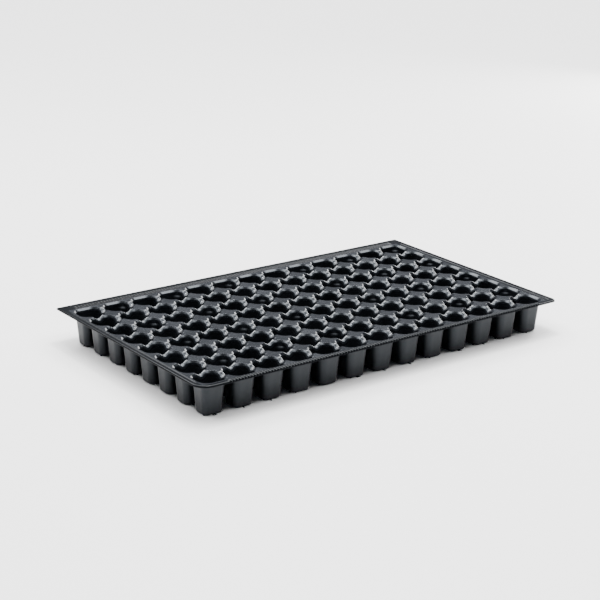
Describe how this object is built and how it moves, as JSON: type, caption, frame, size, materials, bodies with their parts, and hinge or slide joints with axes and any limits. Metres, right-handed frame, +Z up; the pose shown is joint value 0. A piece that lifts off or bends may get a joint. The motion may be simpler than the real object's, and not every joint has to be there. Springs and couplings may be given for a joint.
{
  "type": "plug tray",
  "caption": "Rectangular seedling plug tray in thin black plastic: a grid of tapered open cells under a flat deck, dipped webs between cells, a ribbed rim with a turned-down edge.",
  "frame": {"origin": "under the centre of the tray's outline, on the plane that the cell bases stand on", "axes": "+X along the tray's long side, +Y from the narrow rim towards the wide ribbed rim, +Z up out of the cell mouths"},
  "size_m": [0.54, 0.32, 0.0405],
  "materials": {
    "cell_wall": "black thermoformed polystyrene, drawn thin and satin on the outside",
    "deck": "black thermoformed polystyrene, glossy where it is stretched over the dips and lips",
    "rim": "black thermoformed polystyrene, satin"
  },
  "bodies": {
    "root": {"border_bead_left": "rim", "border_bead_right": "rim", "border_collars": "deck", "border_islands_back": "deck", "border_islands_front": "deck", "border_islands_left": "deck", "border_islands_right": "deck", "cell_bases_row_1": "cell_wall", "cell_bases_row_2": "cell_wall", "cell_bases_row_3": "cell_wall", "cell_bases_row_4": "cell_wall", "cell_bases_row_5": "cell_wall", "cell_bases_row_6": "cell_wall", "cell_bases_row_7": "cell_wall", "cell_bases_row_8": "cell_wall", "cell_lips_row_1": "cell_wall", "cell_lips_row_2": "cell_wall", "cell_lips_row_3": "cell_wall", "cell_lips_row_4": "cell_wall", "cell_lips_row_5": "cell_wall", "cell_lips_row_6": "cell_wall", "cell_lips_row_7": "cell_wall", "cell_lips_row_8": "cell_wall", "cell_walls_row_1": "cell_wall", "cell_walls_row_2": "cell_wall", "cell_walls_row_3": "cell_wall", "cell_walls_row_4": "cell_wall", "cell_walls_row_5": "cell_wall", "cell_walls_row_6": "cell_wall", "cell_walls_row_7": "cell_wall", "cell_walls_row_8": "cell_wall", "corner_collars": "deck", "deck_islands": "deck", "dips_between_columns": "deck", "dips_between_rows": "deck", "island_arms_along_x": "deck", "island_arms_along_y": "deck", "ribs_back": "rim", "ribs_front": "rim", "rim_back_ribbed": "rim", "rim_back_smooth": "rim", "rim_corner_back_left": "rim", "rim_corner_back_right": "rim", "rim_corner_front_left": "rim", "rim_corner_front_right": "rim", "rim_front": "rim", "rim_left": "rim", "rim_right": "rim", "stacking_lugs_row_2": "cell_wall", "stacking_lugs_row_4": "cell_wall", "stacking_lugs_row_6": "cell_wall", "stacking_lugs_row_8": "cell_wall", "turned_edge_back": "rim", "turned_edge_corners": "rim", "turned_edge_front": "rim", "turned_edge_left": "rim", "turned_edge_right": "rim"}
  },
  "joints": []
}
